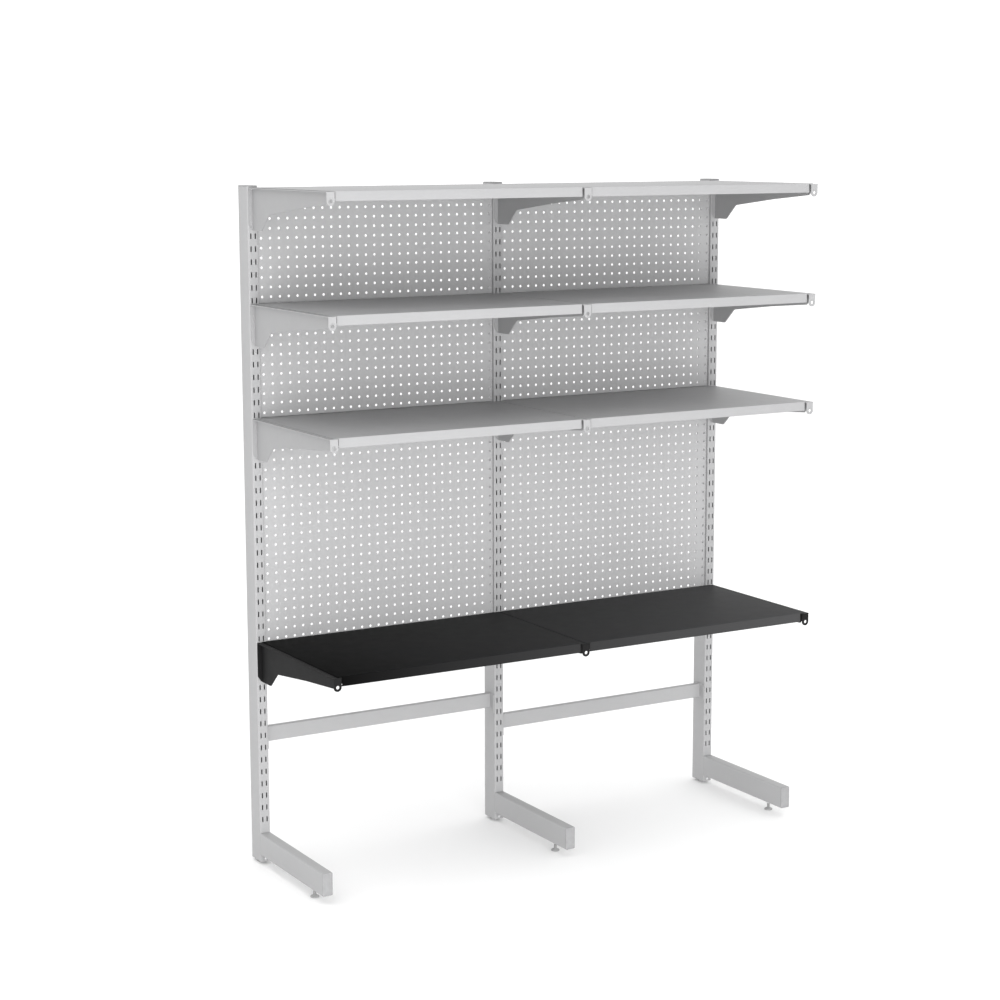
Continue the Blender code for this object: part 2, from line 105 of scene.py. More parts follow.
# Base legs, feet and fixings
LEG_WALL = 0.002
LEG_CORNER = 0.004
LEG_PLATE = 0.004
CAP_RIM = 0.0035
CAP_RECESS = 0.0008
CAP_EDGE = 0.0016
CAP_SEAT = 0.004
CAP_STRIP_MARGIN = 0.004
TOP_CAP_PLATE = 0.003
TOP_CAP_EDGE = 0.0012
TOP_CAP_CROWN = 0.0003
TOP_CAP_CROWN_INSET = 0.006
STEM_RADIUS = 0.005
STEM_CLEAR = 0.0004
THREAD_PITCH = 0.0015
THREAD_DEPTH = 0.0006
NUT_HEIGHT = 0.006
NUT_RADIUS = 0.0095
SCREW_HEAD_RADIUS = 0.0045
SCREW_HEAD_HEIGHT = 0.0023
SCREW_SHANK_RADIUS = 0.0019
RECESS_WIDTH = 0.0011
RECESS_REACH = 0.0026
RECESS_FLOOR = 0.0008
RECESS_TOP = 0.0030
NUT_CHAMFER = 0.0009
NUT_MOUTH = 0.0006
BOLT_CHAMFER = 0.0010
BOLT_WASHER = 0.0006
NO_FLATS = 1.0
BOLT_RADIUS = 0.004

# Crossbars
BAR_DEPTH = 0.020
BAR_HEIGHT = 0.050
BAR_PLATE_BACK = 0.003
BAR_CORNER = 0.0025
BAR_PLATE = 0.0025
BAR_BEAD = 0.0025

GAP = 0.0003
TINY = 0.0001
CURVE_STEPS = 5
TUBE_STEPS = 4
HOLE_STEPS = 24
TURNED_STEPS = 32
HEXAGON_STEPS = 36
TONGUE_STEPS = 16
RING_STEPS = 28
RING_SECTION_STEPS = 10
SMOOTH_BELOW = math.radians(32)

# Half-width along X over which the desk coat's painted reflection grows lighter
PAINTED_SHEEN_REACH = 0.9
FLOOR_HALF = 40.0
FLOOR_CORNER = 4.0
CAMERA_PLACE = (-3.672, -6.052, 2.337)
CAMERA_YAW = 30.332
CAMERA_PITCH = 9.452
CAMERA_ROLL = 0.116
CAMERA_FOCAL_SHARE = 2.1899
SENSOR_MM = 36.0


# ---------------------------------------------------------------- mesh helpers


class Shell:
    """Points and faces gathered loosely, then welded into one mesh."""

    def __init__(self):
        self.points = []
        self.faces = []

    def face(self, corners):
        start = len(self.points)
        self.points.extend(corners)
        self.faces.append(list(range(start, start + len(corners))))

    def strip(self, first, second, closed=True):
        """Quads between two rows of points of equal length."""
        count = len(first)
        for i in range(count if closed else count - 1):
            j = (i + 1) % count
            self.face((first[i], first[j], second[j], second[i]))

    def loft(self, rings, start_cap=True, end_cap=True):
        for first, second in zip(rings, rings[1:]):
            self.strip(first, second)
        if start_cap:
            self.face(list(reversed(rings[0])))
        if end_cap:
            self.face(rings[-1])

    def welded(self, place=None):
        shape = bmesh.new()
        corners = [shape.verts.new(point) for point in self.points]
        for face in self.faces:
            shape.faces.new([corners[index] for index in face])
        bmesh.ops.remove_doubles(shape, verts=shape.verts, dist=TINY / 100)
        bmesh.ops.dissolve_degenerate(shape, edges=shape.edges, dist=TINY / 100)
        bmesh.ops.recalc_face_normals(shape, faces=shape.faces)
        if place is not None:
            bmesh.ops.transform(shape, matrix=place, verts=shape.verts)
        return shape


def mesh_from(shape, name):
    mesh = bpy.data.meshes.new(name)
    shape.to_mesh(mesh)
    shape.free()
    return mesh


def rounded_rectangle(width, height, radius, steps=CURVE_STEPS):
    """Outline of a rectangle centred on zero, counter-clockwise, with round corners."""
    points = []
    centres = ((1, 1, 0), (-1, 1, 90), (-1, -1, 180), (1, -1, 270))
    for side_x, side_y, start in centres:
        for step in range(steps + 1):
            angle = math.radians(start + 90 * step / steps)
            x = side_x * (width / 2 - radius) + radius * math.cos(angle)
            y = side_y * (height / 2 - radius) + radius * math.sin(angle)
            points.append((x, y))
    return points


def eased(corners, radii, steps=CURVE_STEPS):
    """A closed outline with each corner rounded by its own radius."""
    outline = []
    count = len(corners)
    for i, radius in enumerate(radii):
        corner = Vector(corners[i])
        if not radius:
            outline.append(tuple(corner))
            continue
        back = (Vector(corners[i - 1]) - corner).normalized()
        ahead = (Vector(corners[(i + 1) % count]) - corner).normalized()
        half = back.angle(ahead) / 2
        centre = corner + (back + ahead).normalized() * radius / math.sin(half)
        start = corner + back * radius / math.tan(half) - centre
        end = corner + ahead * radius / math.tan(half) - centre
        turn = start.angle_signed(end)
        for step in range(steps + 1):
            angle = -turn * step / steps
            cosine, sine = math.cos(angle), math.sin(angle)
            x = start.x * cosine - start.y * sine
            y = start.x * sine + start.y * cosine
            outline.append((centre.x + x, centre.y + y))
    return outline


def prism(outline, low, high, axes):
    """A closed outline stretched from low to high along the axis that axes leaves out."""

    def ring(at):
        points = []
        for a, b in outline:
            point = [at, at, at]
            point[axes[0]], point[axes[1]] = a, b
            points.append(tuple(point))
        return points

    shell = Shell()
    shell.loft([ring(low), ring(high)])
    return shell.welded()


def block(low, high):
    """A box between two corners, for cutters and for joining."""
    outline = ((low[0], low[1]), (high[0], low[1]), (high[0], high[1]), (low[0], high[1]))
    return prism(outline, low[2], high[2], (0, 1))


def lathe(profile, steps):
    """A solid turned about Z from (radius, height) points listed from bottom to top."""
    rings = []
    for radius, height in profile:
        turns = [2 * math.pi * step / steps for step in range(steps)]
        rings.append([(radius * math.cos(a), radius * math.sin(a), height) for a in turns])
    shell = Shell()
    shell.loft(rings)
    return shell.welded()


def combined(name, base, joined=(), cuts=()):
    """The mesh of base with shapes united with it and then cutters taken away."""
    body = bpy.data.objects.new(name, mesh_from(base, name))
    bpy.context.scene.collection.objects.link(body)
    helpers = []
    steps = [(s, "UNION") for s in joined] + [(s, "DIFFERENCE") for s in cuts]
    for shape, operation in steps:
        tool = bpy.data.objects.new(name + "_tool", mesh_from(shape, name + "_tool"))
        bpy.context.scene.collection.objects.link(tool)
        step = body.modifiers.new(operation.title(), "BOOLEAN")
        step.operation = operation
        step.solver = "EXACT"
        step.object = tool
        helpers.append(tool)
    bpy.context.view_layer.update()
    graph = bpy.context.evaluated_depsgraph_get()
    mesh = bpy.data.meshes.new_from_object(body.evaluated_get(graph))
    mesh.name = name
    for extra in [*helpers, body]:
        bpy.data.objects.remove(extra, do_unlink=True)
    return mesh


def smooth(mesh):
    mesh.shade_smooth()
    mesh.set_sharp_from_angle(angle=SMOOTH_BELOW)
    return mesh


def piece(name, mesh, look, body, node, place=(0, 0, 0), bevel=0.0, segments=2):
    """Shows a mesh in place of a CAD node, riding on that node's body."""
    made = bpy.data.objects.new(name, mesh)
    bpy.context.scene.collection.objects.link(made)
    made.location = place
    if not mesh.materials:
        mesh.materials.append(None)
    made.material_slots[0].link = "OBJECT"
    made.material_slots[0].material = look["material"]
    if bevel:
        edge = made.modifiers.new("Eased edges", "BEVEL")
        edge.width = bevel
        edge.segments = segments
        edge.limit_method = "ANGLE"
        edge.angle_limit = SMOOTH_BELOW
        edge.harden_normals = True
        edge.use_clamp_overlap = True
    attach(made, body)
    if node:
        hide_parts(node)
    return made


# ------------------------------------------------------------------- materials


def connect(tree, kind, settings=(), **inputs):
    """A new shader node with its properties and inputs set or linked."""
    node = tree.nodes.new(kind)
    for key, value in dict(settings).items():
        setattr(node, key, value)
    for key, value in inputs.items():
        socket = node.inputs[key.replace("_", " ")]
        if isinstance(value, bpy.types.NodeSocket):
            tree.links.new(value, socket)
        else:
            socket.default_value = value
    return node


def noise(tree, coords, scale, detail, roughness=0.5):
    found = connect(
        tree,
        "ShaderNodeTexNoise",
        Vector=coords,
        Scale=scale,
        Detail=detail,
        Roughness=roughness,
    )
    return found.outputs["Fac"]


def ranged(tree, value, low, high, new_low, new_high):
    """A value mapped from one range to another, held within the new one."""
    node = tree.nodes.new("ShaderNodeMapRange")
    tree.links.new(value, node.inputs["Value"])
    for key, number in zip(
        ("From Min", "From Max", "To Min", "To Max"), (low, high, new_low, new_high)
    ):
        node.inputs[key].default_value = number
    return node.outputs["Result"]


def mixed(tree, factor, first, second):
    """Colour from first to second by a factor."""
    node = tree.nodes.new("ShaderNodeMix")
    node.data_type = "RGBA"
    tree.links.new(factor, node.inputs["Factor"])
    for socket, value in ((node.inputs[6], first), (node.inputs[7], second)):
        if isinstance(value, bpy.types.NodeSocket):
            tree.links.new(value, socket)
        else:
            socket.default_value = value
    return node.outputs[2]


def tinted(colour, share):
    return tuple(min(1.0, channel * share) for channel in colour) + (1.0,)


def bumped(tree, height, strength, distance, under=None):
    node = connect(tree, "ShaderNodeBump", Strength=strength, Distance=distance, Height=height)
    if under is not None:
        tree.links.new(under, node.inputs["Normal"])
    return node.outputs["Normal"]


def surface(name, slot, metallic=0.0, specular=0.5):
    """A new material with a bare Principled shader, its tree and object coordinates."""
    material = bpy.data.materials.new(name)
    material.use_nodes = True
    tree = material.node_tree
    shader = tree.nodes["Principled BSDF"]
    shader.inputs["Metallic"].default_value = metallic
    shader.inputs["Specular IOR Level"].default_value = specular
    coords = tree.nodes.new("ShaderNodeTexCoord").outputs["Object"]
    return {"material": material, "slot": slot}, tree, shader, coords


def powder_coat(name, slot, colour, roughness, specular, contrast, peel, painted_sheen=None):
    """Satin powder coat: fine orange peel, faint mottling, rubbed patches and dust.

    A painted sheen is a painted reflection, a lighter tone that grows from the unit's left end
    to its right.
    """
    look, tree, shader, coords = surface(name, slot, specular=specular)
    broad = noise(tree, coords, 3.2, 3.0)
    patches = noise(tree, coords, 21.0, 4.0, 0.6)
    grain = noise(tree, coords, 430.0, 2.0)
    mottle = mixed(
        tree,
        ranged(tree, broad, 0.3, 0.7, 0.0, 1.0),
        tinted(colour, 1.0 - contrast),
        tinted(colour, 1.0 + contrast),
    )
    rubbed = mixed(
        tree,
        ranged(tree, patches, 0.58, 0.75, 0.0, 0.5),
        mottle,
        tinted(colour, 1.0 + 2.5 * contrast),
    )
    specks_and_sheen = mixed(
        tree,
        ranged(tree, grain, 0.62, 0.8, 0.0, 0.35),
        rubbed,
        tinted(colour, 1.0 - 2.0 * contrast),
    )
    # Painted reflection: a lighter tone blended in by world X, growing from the left end to the
    # right.
    if painted_sheen is not None:
        place = tree.nodes.new("ShaderNodeNewGeometry").outputs["Position"]
        along = connect(tree, "ShaderNodeSeparateXYZ", Vector=place).outputs["X"]
        painted_sheen_mask = ranged(tree, along, -PAINTED_SHEEN_REACH, PAINTED_SHEEN_REACH, 0.0, 1.0)
        specks_and_sheen = mixed(tree, painted_sheen_mask, specks_and_sheen, tinted(painted_sheen, 1.0))
    tree.links.new(specks_and_sheen, shader.inputs["Base Color"])
    sheen_change = ranged(tree, patches, 0.3, 0.75, roughness + 0.03, roughness - 0.03)
    tree.links.new(sheen_change, shader.inputs["Roughness"])
    orange_peel = noise(tree, coords, 620.0, 2.0, 0.45)
    flow = noise(tree, coords, 95.0, 2.0)
    normal = bumped(tree, flow, peel * 0.5, 0.0004)
    normal = bumped(tree, orange_peel, peel, 0.00012, under=normal)
    tree.links.new(normal, shader.inputs["Normal"])
    return look


def moulded_plastic(name, slot, colour, roughness):
    """Moulded plastic with a fine spark-eroded texture and slightly polished high spots."""
    look, tree, shader, coords = surface(name, slot, specular=0.4)
    broad = noise(tree, coords, 60.0, 3.0)
    texture = noise(tree, coords, 1500.0, 3.0, 0.6)
    shade = mixed(
        tree,
        ranged(tree, broad, 0.3, 0.7, 0.0, 1.0),
        tinted(colour, 0.93),
        tinted(colour, 1.06),
    )
    tree.links.new(shade, shader.inputs["Base Color"])
    gloss = ranged(tree, texture, 0.3, 0.8, roughness + 0.08, roughness - 0.08)
    tree.links.new(gloss, shader.inputs["Roughness"])
    tree.links.new(bumped(tree, texture, 0.35, 0.00006), shader.inputs["Normal"])
    return look


def zinc_plate(name, slot, colour, roughness):
    """Bright zinc plate: turned rings, cloudy passivation and small handling marks."""
    look, tree, shader, coords = surface(name, slot, metallic=1.0)
    cloud = noise(tree, coords, 170.0, 4.0, 0.6)
    turned = connect(
        tree,
        "ShaderNodeTexWave",
        {"wave_type": "RINGS", "rings_direction": "Y"},
        Vector=coords,
        Scale=900.0,
        Distortion=1.5,
        Detail=2.0,
    ).outputs["Fac"]
    shade = mixed(
        tree,
        ranged(tree, cloud, 0.3, 0.7, 0.0, 1.0),
        tinted(colour, 0.86),
        tinted(colour, 1.08),
    )
    tree.links.new(shade, shader.inputs["Base Color"])
    gloss = ranged(tree, cloud, 0.3, 0.75, roughness + 0.1, roughness - 0.08)
    tree.links.new(gloss, shader.inputs["Roughness"])
    tree.links.new(bumped(tree, turned, 0.2, 0.00004), shader.inputs["Normal"])
    return look


def plain_floor():
    look, tree, shader, coords = surface("studio_floor", None, specular=0.2)
    drift = noise(tree, coords, 0.7, 2.0)
    shade = mixed(
        tree,
        ranged(tree, drift, 0.3, 0.7, 0.0, 1.0),
        (0.93, 0.93, 0.93, 1.0),
        (0.95, 0.95, 0.95, 1.0),
    )
    tree.links.new(shade, shader.inputs["Base Color"])
    shader.inputs["Roughness"].default_value = 0.8
    return look["material"]


# ------------------------------------------------------- sheet with holes


def round_rim(radius):
    angles = [math.radians(30 * i - 15) for i in range(12)]
    return [(radius * math.cos(a), radius * math.sin(a)) for a in angles]


def slot_rim(width, height):
    """Twelve points round a slot with full-round ends, starting low on its right side."""
    radius = width / 2
    straight = height / 2 - radius
    turns = [math.radians(36 * i) for i in range(6)]
    top = [(radius * math.cos(a), radius * math.sin(a) + straight) for a in turns]
    bottom = [(-x, -z) for x, z in top]
    return [bottom[-1], *top, *bottom[:-1]]


def cell_edge(x_low, x_high, z_low, z_high, x, z, spread_x, spread_z):
    """Twelve points round a cell's edge that pair with the points of a hole's rim."""
    return [
        (x_high, z - spread_z),
        (x_high, z + spread_z),
        (x_high, z_high),
        (x + spread_x, z_high),
        (x - spread_x, z_high),
        (x_low, z_high),
        (x_low, z + spread_z),
        (x_low, z - spread_z),
        (x_low, z_low),
        (x - spread_x, z_low),
        (x + spread_x, z_low),
        (x_high, z_low),
    ]


def lines_between(centres, low, high):
    """Cell boundaries: the two ends and the midpoints between neighbouring holes."""
    middles = [(a + b) / 2 for a, b in zip(centres, centres[1:])]
    return [low, *middles, high]


def perforate(shell, columns, rows, x_ends, z_ends, rim, spread, y):
    """A sheet in the plane y with a hole at each crossing. Returns the holes' rims."""
    x_lines = lines_between(columns, *x_ends)
    z_lines = lines_between(rows, *z_ends)
    rims = []
    for i, x in enumerate(columns):
        for j, z in enumerate(rows):
            bounds = (x_lines[i], x_lines[i + 1], z_lines[j], z_lines[j + 1])
            edge = [(a, y, b) for a, b in cell_edge(*bounds, x, z, *spread)]
            hole = [(x + a, y, z + b) for a, b in rim]
            shell.strip(edge, hole)
            rims.append(hole)
    return rims


def edge_stations(centres, ends, spread):
    """Every point along one side of a perforated sheet, in order."""
    lines = lines_between(centres, *ends)
    stations = [lines[0]]
    for centre, after in zip(centres, lines[1:]):
        stations.extend((centre - spread, centre + spread, after))
    return stations


# ------------------------------------------------------------------ the pieces


def tube_path(width, depth, corner):
    """From the front's right end round the sides and back to its left end."""
    outline = rounded_rectangle(width, depth, corner, TUBE_STEPS)
    outline = [(x, y + depth / 2) for x, y in outline]
    start = min(range(len(outline)), key=lambda i: (outline[i][1], -outline[i][0]))
    return outline[start:] + outline[:start]


def upright_mesh(width, depth, low, high):
    """Square-cornered tube, open at both ends, with two columns of slots in its front."""
    half_flat = width / 2 - TUBE_CORNER
    columns = (-SLOT_OFFSET, SLOT_OFFSET)
    rows = [SLOT_FIRST + SLOT_PITCH * i for i in range(SLOT_COUNT)]
    x_ends = (-half_flat, half_flat)
    z_ends = (rows[0] - SLOT_PITCH / 2, rows[-1] + SLOT_PITCH / 2)
    rim = slot_rim(SLOT_WIDTH, SLOT_HEIGHT)
    shoulder = SLOT_HEIGHT / 2 - SLOT_WIDTH / 2
    spread = (SLOT_SPREAD, shoulder)
    front_x = edge_stations(columns, x_ends, SLOT_SPREAD)
    heights = [low, *edge_stations(rows, z_ends, shoulder), high]

    shell = Shell()
    walls = []
    layers = (
        (0.0, width, depth, TUBE_CORNER),
        (TUBE_WALL, width - 2 * TUBE_WALL, depth - 2 * TUBE_WALL, TUBE_CORNER - TUBE_WALL),
    )
    loops = []
    for inset, layer_width, layer_depth, corner in layers:
        rims = perforate(shell, columns, rows, x_ends, z_ends, rim, spread, inset)
        walls.append(rims)
        for bottom, top in ((low, z_ends[0]), (z_ends[1], high)):
            first = [(x, inset, bottom) for x in front_x]
            second = [(x, inset, top) for x in front_x]
            shell.strip(first, second, closed=False)
        path = tube_path(layer_width, layer_depth, corner)
        path = [(x, y + inset) for x, y in path]
        for bottom, top in zip(heights, heights[1:]):
            first = [(x, y, bottom) for x, y in path]
            second = [(x, y, top) for x, y in path]
            shell.strip(first, second, closed=False)
        loops.append([(x, inset) for x in front_x[:-1]] + path[:-1])
    for outer, inner in zip(*walls):
        shell.strip(outer, inner)
    for z in (low, high):
        shell.strip([(x, y, z) for x, y in loops[0]], [(x, y, z) for x, y in loops[1]])
    return smooth(mesh_from(shell.welded(), "upright_tube"))


def panel_mesh(low, high):
    """Perforated sheet with its four edges folded back, thickened by a modifier."""
    middle_x = (low.x + high.x) / 2
    bend = PANEL_BEND
    half_flat = (high.x - low.x) / 2 - bend
    z_ends = (low.z + bend, high.z - bend)
    first_row = math.ceil((low.z + HOLE_MARGIN - HOLE_DATUM) / HOLE_PITCH)
    last_row = math.floor((high.z - HOLE_MARGIN - HOLE_DATUM) / HOLE_PITCH)
    rows = [HOLE_DATUM + HOLE_PITCH * k for k in range(first_row, last_row + 1)]
    first_column = -HOLE_PITCH * (HOLE_COLUMNS - 1) / 2
    columns = [first_column + HOLE_PITCH * k for k in range(HOLE_COLUMNS)]
    x_ends = (-half_flat, half_flat)
    spread = (HOLE_SPREAD, HOLE_SPREAD)

    shell = Shell()
    perforate(shell, columns, rows, x_ends, z_ends, round_rim(HOLE_RADIUS), spread, low.y)
    across = edge_stations(columns, x_ends, HOLE_SPREAD)
    up = edge_stations(rows, z_ends, HOLE_SPREAD)
    fold = [(bend * math.sin(t), bend * (1 - math.cos(t))) for t in quarter_turn()]
    fold.append((bend, high.y - low.y))
    for sign in (-1, 1):
        x = sign * half_flat
        sides = [[(x + sign * out, low.y + back, z) for z in up] for out, back in fold]
        for first, second in zip(sides, sides[1:]):
            shell.strip(first, second, closed=False)
        z = z_ends[0] if sign < 0 else z_ends[1]
        ends = [[(x, low.y + back, z + sign * out) for x in across] for out, back in fold]
        for first, second in zip(ends, ends[1:]):
            shell.strip(first, second, closed=False)
    shape = shell.welded(Matrix.Translation((middle_x, 0, 0)))
    aim_forward(shape)
    return keep_rims_sharp(smooth(mesh_from(shape, "perforated_sheet")))


def keep_rims_sharp(mesh):
    """Marks an open sheet's free edges, so that its thickness doesn't shade them round."""
    shape = bmesh.new()
    shape.from_mesh(mesh)
    for edge in shape.edges:
        if edge.is_boundary:
            edge.smooth = False
    shape.to_mesh(mesh)
    shape.free()
    return mesh


def quarter_turn():
    return [math.pi / 2 * step / CURVE_STEPS for step in range(CURVE_STEPS + 1)]


def aim_forward(shape):
    """Turns an open sheet's faces so that its flat front looks along -Y."""
    shape.normal_update()
    if sum(face.normal.y * face.calc_area() for face in shape.faces) > 0:
        bmesh.ops.reverse_faces(shape, faces=shape.faces)


def deck_mesh(width, depth):
    """Formed sheet: flat top, deep hemmed front lip, rear lip and two side lips."""
    half = width / 2
    tray = half - DECK_TRAY_INSET
    t = DECK_SHEET
    nose = [(t - t * math.sin(a), t * math.cos(a) - t) for a in quarter_turn()]
    heel = [(depth - y, z) for y, z in reversed(nose)]
    foot_corners = (
        (0, -t),
        (0, -DECK_LIP),
        (DECK_HEM, -DECK_LIP),
        (DECK_HEM, t - DECK_LIP),
        (t, t - DECK_LIP),
        (t, -t),
    )
    foot = eased(foot_corners, (0, t, 0.0004, 0.0004, 0, 0), 4)
    tail = [(depth - t, -t), (depth - t, -DECK_REAR_LIP), (depth, -DECK_REAR_LIP), (depth, -t)]
    plate = [*nose, foot[-1], tail[0], *heel]

    def at(x, outline):
        return [(x, y, z) for y, z in outline]

    shell = Shell()
    shell.loft([at(-half, plate), at(-tray, plate)], end_cap=False)
    shell.loft([at(tray, plate), at(half, plate)], start_cap=False)
    top = [*heel, *nose]
    shell.strip(at(-tray, top), at(tray, top), closed=False)
    under = [foot[-1], tail[0]]
    shell.strip(at(-tray, under), at(tray, under), closed=False)
    for lip in (foot, tail):
        shell.strip(at(-tray, lip), at(tray, lip), closed=False)
        shell.face(at(-tray, lip))
        shell.face(at(tray, lip))
    for sign in (-1, 1):
        outer, inner = sign * (tray - TINY), sign * (tray - t)
        low = (min(outer, inner), t + TINY, -DECK_SIDE_LIP)
        high = (max(outer, inner), depth - t - TINY, -t / 2)
        ends = ((low[0], low[1]), (high[0], low[1]), (high[0], high[1]), (low[0], high[1]))
        shell.loft([[(x, y, z) for x, y in ends] for z in (low[2], high[2])])
    return smooth(mesh_from(shell.welded(), "formed_deck"))


def bracket_mesh(width, reach):
    """Shelf bracket: stepped web, top flange, slotted rear saddle and a ringed nose."""
    half = width / 2
    top = -DECK_SHEET - GAP
    inside = top - BRACKET_SHEET / 2
    step_y, step_z = BRACKET_STEP
    waist_y, waist_z = BRACKET_WAIST
    relief = NOSE_HOLE_RADIUS + NOSE_RELIEF - NOSE_HOLE_DROP
    overlap = 0.001
    side_view = eased(
        (
            (-overlap, inside),
            (-overlap, -BRACKET_TAIL_DROP),
            (-BRACKET_TAIL_LENGTH, -BRACKET_TAIL_DROP),
            (-step_y, -step_z),
            (-waist_y, -waist_z),
            (NOSE_WIDTH - reach, -BRACKET_FRONT_DROP),
            (NOSE_WIDTH / 2 - reach, relief),
            (overlap - reach, relief),
            (overlap - reach, inside),
        ),
        (0, 0.004, 0.010, 0.020, 0.060, 0.004, 0.004, 0, 0),
    )
    web = prism(side_view, -BRACKET_WEB / 2, BRACKET_WEB / 2, (1, 2))
    flange_half = (half, (reach - overlap) / 2)
    flange_outline = rounded_rectangle(2 * flange_half[0], 2 * flange_half[1], 0.002)
    middle = -reach / 2
    flange_outline = [(x, y + middle) for x, y in flange_outline]
    flange = prism(flange_outline, top - BRACKET_SHEET, top, (0, 1))
    wing = overlap - BRACKET_TAIL_DROP
    saddle_outline = eased(
        (
            (-half, inside),
            (-half, -BRACKET_WING_DROP),
            (-BRACKET_WEB, wing),
            (BRACKET_WEB, wing),
            (half, -BRACKET_WING_DROP),
            (half, inside),
        ),
        (0, 0.005, 0.002, 0.002, 0.005, 0),
    )
    saddle = prism(saddle_outline, -BRACKET_SHEET - GAP, -GAP, (0, 2))
    nose_half = NOSE_WIDTH / 2
    tongue = [(nose_half, inside), (-nose_half, inside)]
    for count in range(TONGUE_STEPS + 1):
        angle = math.pi * (1 + count / TONGUE_STEPS)
        z = nose_half * math.sin(angle) - NOSE_HOLE_DROP
        tongue.append((nose_half * math.cos(angle), z))
    plate = prism(tongue, -reach, BRACKET_SHEET - reach, (0, 2))
    hooks = []
    for row in range(2):
        corners = hook_corners(-NOSE_HOLE_DROP - row * SLOT_PITCH)
        hook = eased(corners, (0, 0, 0, 0.001, 0.001, 0.002), 3)
        for x in (-SLOT_OFFSET, SLOT_OFFSET):
            hooks.append(prism(hook, x - HOOK_WIDTH / 2, x + HOOK_WIDTH / 2, (1, 2)))
    drill_end = 3 * overlap + BRACKET_SHEET
    hole = lathe(((NOSE_HOLE_RADIUS, -overlap), (NOSE_HOLE_RADIUS, drill_end)), HOLE_STEPS)
    turn = Matrix.Rotation(-math.pi / 2, 4, "X")
    move = Matrix.Translation((0, -reach - overlap, -NOSE_HOLE_DROP))
    bmesh.ops.transform(hole, matrix=move @ turn, verts=hole.verts)
    mesh = combined("bracket", web, joined=[flange, saddle, plate, *hooks], cuts=[hole])
    return smooth(mesh)


def hook_corners(middle):
    """Side view of one hook, from its root in the saddle to the claw behind the slot."""
    upper, lower = middle + HOOK_HEIGHT / 2, middle - HOOK_HEIGHT / 2
    root = -0.0013
    return (
        (root, upper),
        (root, lower),
        (HOOK_THROAT, lower),
        (HOOK_THROAT, lower - HOOK_DROP),
        (HOOK_TIP, lower - HOOK_DROP),
        (HOOK_TIP, upper),
    )


def ring_mesh():
    """Raised round rim about the bracket's nose hole, its axis along Y."""
    rings = []
    major, minor = NOSE_HOLE_RADIUS + NOSE_RIM / 2, NOSE_RIM
    for i in range(RING_STEPS):
        around = 2 * math.pi * i / RING_STEPS
        ring = []
        for j in range(RING_SECTION_STEPS):
            section = 2 * math.pi * j / RING_SECTION_STEPS
            radius = major + minor * math.cos(section)
            x, z = radius * math.cos(around), radius * math.sin(around)
            ring.append((x, minor * math.sin(section), z))
        rings.append(ring)
    shell = Shell()
    for first, second in zip(rings, rings[1:] + rings[:1]):
        shell.strip(first, second)
    return smooth(mesh_from(shell.welded(), "nose_ring"))


def rectangle_at(y, width, height, corner, middle_z):
    outline = rounded_rectangle(width, height, corner)
    return [(x, y, z + middle_z) for x, z in outline]


def leg_mesh(low, high, stem_y):
    """Round-cornered tube closed by a rear plate, open in front, bored for its foot's stem."""
    width, height = high.x - low.x, high.z - low.z
    middle = (low.z + high.z) / 2
    inner = (width - 2 * LEG_WALL, height - 2 * LEG_WALL, LEG_CORNER - LEG_WALL)
    rings = [
        rectangle_at(high.y, width - 0.001, height - 0.001, LEG_CORNER - 0.0005, middle),
        rectangle_at(high.y - 0.0005, width, height, LEG_CORNER, middle),
        rectangle_at(low.y + 0.0003, width, height, LEG_CORNER, middle),
        rectangle_at(low.y, width - 0.0006, height - 0.0006, LEG_CORNER - 0.0003, middle),
        rectangle_at(low.y, *inner, middle),
        rectangle_at(high.y - LEG_PLATE, *inner, middle),
    ]
    shell = Shell()
    shell.loft(rings)
    bore = STEM_RADIUS + STEM_CLEAR
    drill = lathe(((bore, low.z - LEG_WALL), (bore, low.z + 2 * LEG_WALL)), TURNED_STEPS)
    move = Matrix.Translation((0, stem_y, 0))
    bmesh.ops.transform(drill, matrix=move, verts=drill.verts)
    return smooth(combined("leg_tube", shell.welded(), cuts=[drill]))


def leg_cap_mesh(low, high):
    """Moulded end cap: rounded rim, shallow recess with a raised strip, and a plug."""
    width, height = high.x - low.x, high.z - low.z
    middle = (low.z + high.z) / 2
    front = low.y
    plug = (width - 2 * LEG_WALL - 2 * GAP, height - 2 * LEG_WALL - 2 * GAP)
    seat = front + CAP_SEAT
    rings = [
        rectangle_at(high.y, plug[0] - 0.002, plug[1] - 0.002, 0.001, middle),
        rectangle_at(seat - TINY, *plug, 0.001, middle),
        rectangle_at(seat - TINY, width, height, LEG_CORNER, middle),
    ]
    for angle in quarter_turn():
        inset = CAP_EDGE * (1 - math.cos(angle))
        y = front + CAP_EDGE * (1 - math.sin(angle))
        size = (width - 2 * inset, height - 2 * inset)
        rings.append(rectangle_at(y, *size, LEG_CORNER - inset, middle))
    recess = (width - 2 * CAP_RIM, height - 2 * CAP_RIM)
    floor = (recess[0] - 0.0008, recess[1] - 0.0008)
    strip = (floor[0] - 2 * CAP_STRIP_MARGIN, floor[1] - 2 * CAP_STRIP_MARGIN)
    crest = (strip[0] - 0.0014, strip[1] - 0.0014)
    rings.append(rectangle_at(front, *recess, 0.002, middle))
    rings.append(rectangle_at(front + CAP_RECESS, *floor, 0.0018, middle))
    rings.append(rectangle_at(front + CAP_RECESS, *strip, 0.002, middle))
    rings.append(rectangle_at(front + CAP_RECESS / 8, *crest, 0.0018, middle))
    shell = Shell()
    shell.loft(rings)
    return smooth(mesh_from(shell.welded(), "leg_end_cap"))


